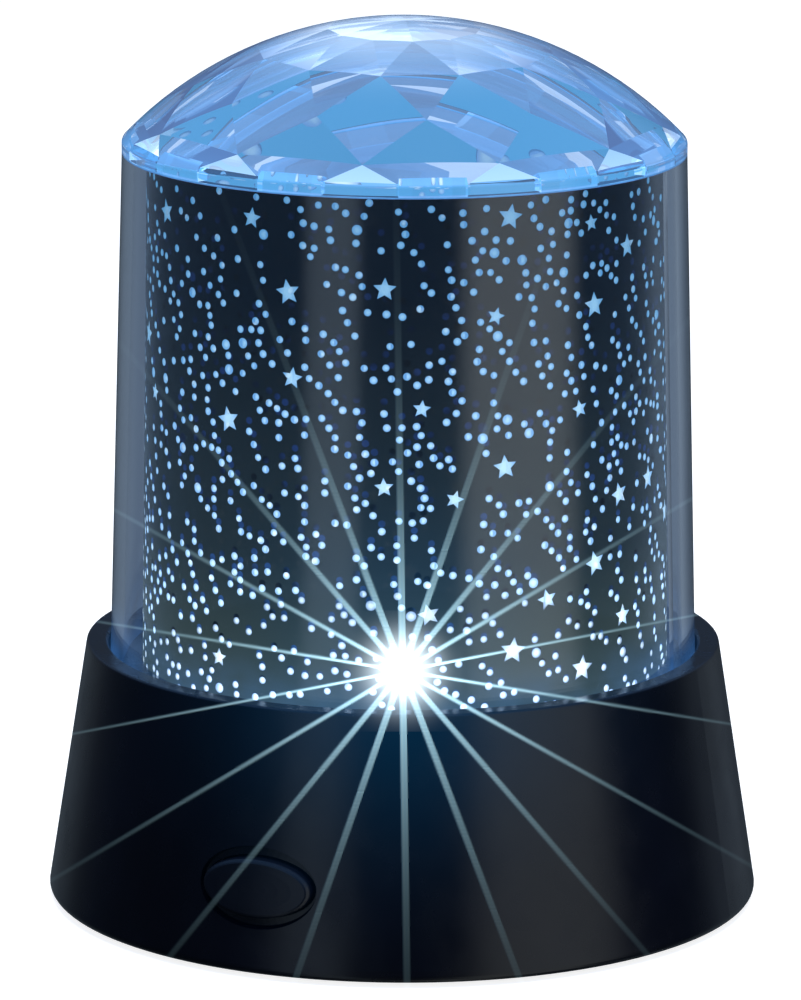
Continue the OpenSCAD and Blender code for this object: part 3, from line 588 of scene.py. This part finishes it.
def mark_outline(u, v, radius, star, spin):
    """Outline of a mark on the flat sheet, counter-clockwise."""
    if not star:
        turns = [(radius, 2 * math.pi * k / DOT_SIDES) for k in range(DOT_SIDES)]
    else:
        turns = [(radius if k % 2 == 0 else radius * STAR_INNER, spin + math.pi / 2 + math.pi * k / 5)
                 for k in range(10)]
    return [Vector((u + r * math.cos(t), v + r * math.sin(t))) for r, t in turns]


def cut_sheet(marks, rng, half_length, low, high, led_height):
    """Triangles of the flat sheet, split along every mark's outline, the outline of every dot's painted
    reflection and upright lines so that it rolls round. Returns points, triangles and, for each triangle, the
    number of its mark, the tag of a painted reflection, or None."""
    points = [Vector((-half_length, low)), Vector((half_length, low)), Vector((half_length, high)),
              Vector((-half_length, high))]
    edges, loops = [], [[0, 1, 2, 3]]
    # painted reflections: a smaller copy of each dot, raised more the higher it stands above the LED
    painted_reflections = [(u, v + PAINTED_REFLECTION_RISE * (v - led_height), PAINTED_REFLECTION_SIZE * radius, False)
              for u, v, radius, star in marks if not star]
    painted_reflections = [ghost for ghost in painted_reflections if ghost[1] + ghost[2] < high]
    for number, (u, v, radius, star) in enumerate(painted_reflections + marks):
        spin = rng.uniform(-0.3, 0.3)
        outline = mark_outline(u, v, radius, star, spin)
        loops.append(list(range(len(points), len(points) + len(outline))))
        points += outline
        if number >= len(painted_reflections):
            points.append(Vector((u, v)))
    for column in range(1, ROLL_COLUMNS):
        u = half_length * (2 * column / ROLL_COLUMNS - 1)
        edges.append((len(points), len(points) + 1))
        points += [Vector((u, low)), Vector((u, high))]
    cut = delaunay_2d_cdt(points, edges, loops, 0, 1e-7, True)
    owners = []
    for loops_round in cut[5]:
        owner = max(loops_round) - 1 - len(painted_reflections)
        owners.append(owner if owner >= 0 else "ghost" if owner >= -len(painted_reflections) else None)
    return cut[0], cut[2], owners


def build_film(name, materials):
    """The rolled film with its lap behind: print outside, lining inside, windows through both."""
    radius_at = film_radius_at()
    low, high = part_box("star_film")
    rng = random.Random(FILM_SEED)
    middle_radius = radius_at((low.z + high.z) / 2)
    turn = 2 * math.pi * middle_radius
    half_length = (turn + FILM_LAP) / 2
    led_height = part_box("star_led")[1].z - CHIP_DEPTH
    sight = (CAMERA_PLACE.z - led_height) / math.hypot(CAMERA_PLACE.x, CAMERA_PLACE.y)
    first_dot = (CAMERA_TURN * middle_radius, led_height + sight * radius_at(low.z))
    marks = scatter_print(rng, turn, low.z + FILM_MARGIN, high.z - FILM_MARGIN, first_dot)
    points, triangles, owners = cut_sheet(marks, rng, half_length, low.z, high.z, led_height)
    count = len(points)

    def rolled(point, depth):
        """A point of the flat sheet on the roll. One end rises over the other at the lap."""
        angle = point.x / middle_radius
        rise = (point.x - (half_length - FILM_LAP - LAP_RISE)) / LAP_RISE
        r = radius_at(point.y) - depth + FILM_THICKNESS * min(max(rise, 0.0), 1.0)
        return (r * math.sin(angle), -r * math.cos(angle), point.y)

    vertices = [rolled(p, 0.0) for p in points] + [rolled(p, FILM_THICKNESS) for p in points]
    normals = [(math.sin(p.x / middle_radius), -math.cos(p.x / middle_radius), 0.0) for p in points]
    normals += [(-x, -y, z) for x, y, z in normals]
    rims = [0.0] * count
    for triangle, owner in zip(triangles, owners):
        if owner not in (None, "ghost"):
            u, v, radius, _ = marks[owner]
            for k in triangle:
                rims[k] = min((points[k] - Vector((u, v))).length / radius, 1.0)
    faces = [tuple(t) for t in triangles] + [tuple(k + count for k in reversed(t)) for t in triangles]
    # slot 3 holds the painted reflections of the lit dots
    slots = [{None: 0, "ghost": 3}.get(owner, 1) for owner in owners]
    slots += [2 if owner in (None, "ghost") else 1 for owner in owners]
    outline = {}
    for a, b, c in triangles:
        for side in ((a, b), (b, c), (c, a)):
            outline[frozenset(side)] = None if frozenset(side) in outline else side
    for side in filter(None, outline.values()):
        faces.append((side[1], side[0], side[0] + count, side[1] + count))
        slots.append(0)
    mesh = bpy.data.meshes.new(name)
    mesh.from_pydata(vertices, [], faces)
    mesh.attributes.new("rim", "FLOAT", "POINT").data.foreach_set("value", rims + rims)
    for material in materials:
        mesh.materials.append(material)
    mesh.polygons.foreach_set("material_index", slots)
    mesh.normals_split_custom_set_from_vertices(normals)
    piece = bpy.data.objects.new(name, mesh)
    bpy.context.scene.collection.objects.link(piece)
    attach(piece, "shade")
    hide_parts("star_film")
    return piece


# ---------------------------------------------------------------- chip of the LED

def build_chip(name, materials):
    """Post with a cup, and the lit chip in the cup, inside the clear LED."""
    low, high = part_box("star_led")
    chip_z = high.z - CHIP_DEPTH
    floor_z = chip_z - CHIP_RADIUS
    profile = [(0.0, low.z + 2 * MM), (POST_RADIUS, low.z + 2 * MM), (POST_RADIUS, floor_z - 3 * POST_RADIUS),
               (CUP_RADIUS, floor_z - POST_RADIUS), (CUP_RADIUS, floor_z + CUP_DEPTH),
               (0.9 * CUP_RADIUS, floor_z + CUP_DEPTH), (0.5 * CUP_RADIUS, floor_z), (0.0, floor_z)]
    chip = [(CHIP_RADIUS * r, floor_z + CHIP_RADIUS * z) for r, z in CHIP_PROFILE]
    vertices, faces, slots = [], [], []
    for slot, line in enumerate((profile, chip)):
        first = len(vertices)
        for r, z in line:
            angles = [2 * math.pi * k / CHIP_SIDES for k in range(CHIP_SIDES)]
            vertices += [(r * math.cos(angle), r * math.sin(angle), z) for angle in angles]
        for row in range(len(line) - 1):
            for k in range(CHIP_SIDES):
                a, b = first + row * CHIP_SIDES + k, first + row * CHIP_SIDES + (k + 1) % CHIP_SIDES
                faces.append((a, b, b + CHIP_SIDES, a + CHIP_SIDES))
                slots.append(slot)
    mesh = bpy.data.meshes.new(name)
    mesh.from_pydata(vertices, [], faces)
    for material in materials:
        mesh.materials.append(material)
    mesh.polygons.foreach_set("material_index", slots)
    piece = bpy.data.objects.new(name, mesh)
    bpy.context.scene.collection.objects.link(piece)
    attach(piece, "base")
    return piece


# ---------------------------------------------------------------- light, floor and camera

def make_world():
    """White to the camera; a dim room with tall soft boxes for what the object reflects."""
    world = bpy.data.worlds.new("studio")
    bpy.context.scene.world = world
    world.use_nodes = True
    g = Graph(world.node_tree)
    direction = g.add("TexCoord").outputs["Generated"]
    level = g.add("VectorMath", {0: direction, 1: (1.0, 1.0, 0.0)}, operation="MULTIPLY")
    level = g.add("VectorMath", {0: level}, operation="NORMALIZE")
    room = g.add("CombineXYZ", dict(zip("XYZ", ROOM_COLOUR)))
    for azimuth, half_width, edge, colour in SOFT_BOXES:
        aim = (math.sin(math.radians(azimuth)), -math.cos(math.radians(azimuth)), 0.0)
        cosine = g.add("VectorMath", {0: level, 1: aim}, operation="DOT_PRODUCT").outputs["Value"]
        band = g.spread(cosine, 0.0, 1.0, math.cos(math.radians(half_width + edge)),
                        math.cos(math.radians(half_width - edge)), smooth=True)
        band = g.add("VectorMath", {0: colour, "Scale": band}, operation="SCALE")
        room = g.add("VectorMath", {0: room, 1: band}, operation="ADD")
    rise = g.axis(direction, "Z")
    sides = g.spread(rise, 1.0, 0.1, 0.35, 0.8, smooth=True)
    room = g.add("VectorMath", {0: room, "Scale": sides}, operation="SCALE")
    above = g.spread(rise, 0.0, 1.0, 0.2, 0.8, smooth=True)
    overhead = g.add("VectorMath", {0: OVERHEAD_COLOUR, "Scale": above}, operation="SCALE")
    paths = g.add("LightPath").outputs
    room = g.add("VectorMath", {0: room, 1: overhead}, operation="ADD")
    seen_through = g.ramp(g.spread(rise, 0.0, 1.0, -1.0, 1.0), SEEN_THROUGH)
    through = g.mixed(paths["Is Transmission Ray"], (0.0, 0.0, 0.0, 1.0), seen_through)
    room = g.add("VectorMath", {0: room, 1: through}, operation="ADD")
    colour = g.mixed(paths["Is Camera Ray"], room.outputs[0], (1.0, 1.0, 1.0, 1.0))
    g.fill(world.node_tree.nodes["Background"], {"Color": colour, "Strength": 1.0})


def make_floor():
    """Pale table top, bright enough to meet the backdrop without a line, and clear from below."""
    bpy.ops.mesh.primitive_plane_add(size=FLOOR_SIZE, location=(0.0, 0.0, 0.0))
    floor = bpy.context.object
    floor.name = "floor"
    material, g, shader = new_material("floor")
    g.fill(shader, {
        "Base Color": g.ramp(g.noise(3.0), [(0.3, (0.45, 0.45, 0.46)), (0.7, (0.5, 0.5, 0.5))]),
        "Roughness": 0.9,
        "Emission Color": (1.0, 1.0, 1.0, 1.0),
        "Emission Strength": FLOOR_GLOW,
        "Alpha": g.math("SUBTRACT", 1.0, g.add("NewGeometry").outputs["Backfacing"]),
    })
    floor.data.materials.append(material)
    floor.visible_glossy = False
    floor.visible_transmission = False
    floor.visible_diffuse = False


def make_light(name, kind, place, energy, aim=None, **settings):
    data = bpy.data.lights.new(name, kind)
    data.energy = energy
    for key, value in settings.items():
        setattr(data, key, value)
    light = bpy.data.objects.new(name, data)
    light.location = place
    if aim is not None:
        light.rotation_euler = (Vector(aim) - Vector(place)).to_track_quat("-Z", "Y").to_euler()
    light.visible_camera = False
    bpy.context.scene.collection.objects.link(light)
    return light


def make_lights():
    top = make_light("overhead", "AREA", OVERHEAD_PLACE, OVERHEAD_ENERGY, aim=(0.0, 0.0, 0.05), shape="DISK",
                     size=OVERHEAD_SIZE)
    top.visible_glossy = False
    top.visible_transmission = False
    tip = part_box("star_led")[1].z
    glow = make_light("led_glow", "POINT", (0.0, 0.0, tip + LED_GLOW_RISE), LED_GLOW_ENERGY,
                      color=(0.7, 0.87, 1.0), shadow_soft_size=LED_GLOW_RADIUS)
    glow.visible_glossy = False
    glow.visible_transmission = False


def make_camera():
    data = bpy.data.cameras.new("camera")
    data.lens = CAMERA_LENS
    data.sensor_width = CAMERA_SENSOR
    data.clip_start = 0.05
    data.clip_end = 50.0
    camera = bpy.data.objects.new("camera", data)
    pitch, yaw, roll = CAMERA_PITCH, CAMERA_YAW, CAMERA_ROLL
    ahead = Vector((math.sin(yaw) * math.cos(pitch), math.cos(yaw) * math.cos(pitch), -math.sin(pitch)))
    right = Vector((math.cos(yaw), -math.sin(yaw), 0.0))
    up = right.cross(ahead)
    rolled_right = math.cos(roll) * right + math.sin(roll) * up
    rolled_up = math.cos(roll) * up - math.sin(roll) * right
    turned = Matrix((rolled_right, rolled_up, -ahead)).transposed().to_4x4()
    camera.matrix_world = (Matrix.Rotation(CAMERA_TURN, 4, "Z") @ Matrix.Translation(CAMERA_PLACE) @ turned)
    bpy.context.scene.collection.objects.link(camera)
    bpy.context.scene.camera = camera


def make_glare():
    """The star burst and halo that the camera's lens makes of the naked LED."""
    scene = bpy.context.scene
    scene.use_nodes = True
    g = Graph(scene.node_tree, "CompositorNode")
    for old in list(scene.node_tree.nodes):
        scene.node_tree.nodes.remove(old)

    def times(image, colour):
        return g.add("MixRGB", {0: 1.0, 1: image, 2: (*colour, 1.0)}, blend_type="MULTIPLY")

    def blurred(image, pixels):
        return g.add("Blur", {"Image": image}, filter_type="GAUSS", size_x=pixels, size_y=pixels)

    image = g.add("RLayers").outputs["Image"]
    bright = g.add("Glare", {"Image": image, "Threshold": GLARE_THRESHOLD, "Smoothness": 0.0},
                   glare_type="BLOOM", quality="HIGH").outputs["Highlights"]
    cap = (GLARE_CAP, GLARE_CAP, GLARE_CAP, 1.0)
    bright = g.add("MixRGB", {0: 1.0, 1: bright, 2: cap}, blend_type="DARKEN")
    parts = [times(blurred(bright, CORE_BLUR), CORE_LIGHT), times(blurred(bright, HALO_BLUR), HALO_LIGHT)]
    source = blurred(bright, STREAK_BLUR)
    for turn in STREAK_TURNS:
        streaks = g.add("Glare", {
            "Image": source,
            "Threshold": 0.0,
            "Strength": 1.0,
            "Streaks": 9,
            "Streaks Angle": math.radians(turn),
            "Iterations": 5,
            "Fade": STREAK_FADE,
            "Color Modulation": 0.0,
        }, glare_type="STREAKS", quality="HIGH")
        parts.append(times(streaks.outputs["Glare"], STREAK_LIGHT))
    for part in parts:
        image = g.add("MixRGB", {0: 1.0, 1: image, 2: part}, blend_type="ADD")
    g.fill(g.add("Composite"), {"Image": image})


low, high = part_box("star_film")
dress(black_plastic("black_plastic", 0.24, 0.004 * MM), "base_housing", "film_retainer")
dress(black_plastic("black_button", 0.32, 0.006 * MM), "star_button")
dress(black_plastic("black_underside", 0.42, 0.02 * MM), "bottom_plate", "battery_door")
dress(tube_plastic("clear_tube", (0.96, 0.97, 1.0)), "shade_tube")
dress(lens_plastic("clear_lens", (0.96, 0.97, 1.0)), "lens_dome")
dress(led_epoxy(), "star_led")
dress(rubber(), "rubber_feet")
dress(plated_steel("screw_steel", STEEL, 0.3), "housing_screws", "door_screw", "led_board_screws",
      "switch_board_screws")
dress(plated_steel("spring_steel", (0.72, 0.71, 0.68), 0.22), "contact_springs", "contact_plates")
dress(cell_wrap(), "aa_cells")
dress(circuit_board(), "led_board", "switch_board")
dress(board_components(), "board_parts")
dress(plain_moulding("switch_black", (0.01, 0.01, 0.01), (0.02, 0.02, 0.02), 0.45), "push_switch")
dress(plain_moulding("stem_plastic", (0.6, 0.58, 0.52), (0.7, 0.68, 0.62), 0.4), "switch_stem")
dress(wire_sleeves("supply_sleeve", (0.45, 0.02, 0.02), (0.015, 0.015, 0.016)), "supply_wires")
dress(wire_sleeves("switch_sleeve", (0.62, 0.62, 0.58), (0.5, 0.42, 0.12)), "switch_wires")
build_film("rolled_star_film", (
    film_print("film_print", low.z, high.z),
    film_window(low.z, high.z),
    film_lining(low.z, high.z),
    # print that carries the painted reflections of the lit dots
    film_print("film_painted_reflection", low.z, high.z, ghost=1.0),
))
build_chip("led_chip", (plated_steel("lead_frame", (0.8, 0.8, 0.78), 0.15), lit_chip()))

make_world()
make_floor()
make_lights()
make_camera()
make_glare()
bpy.context.scene.view_settings.view_transform = "Standard"
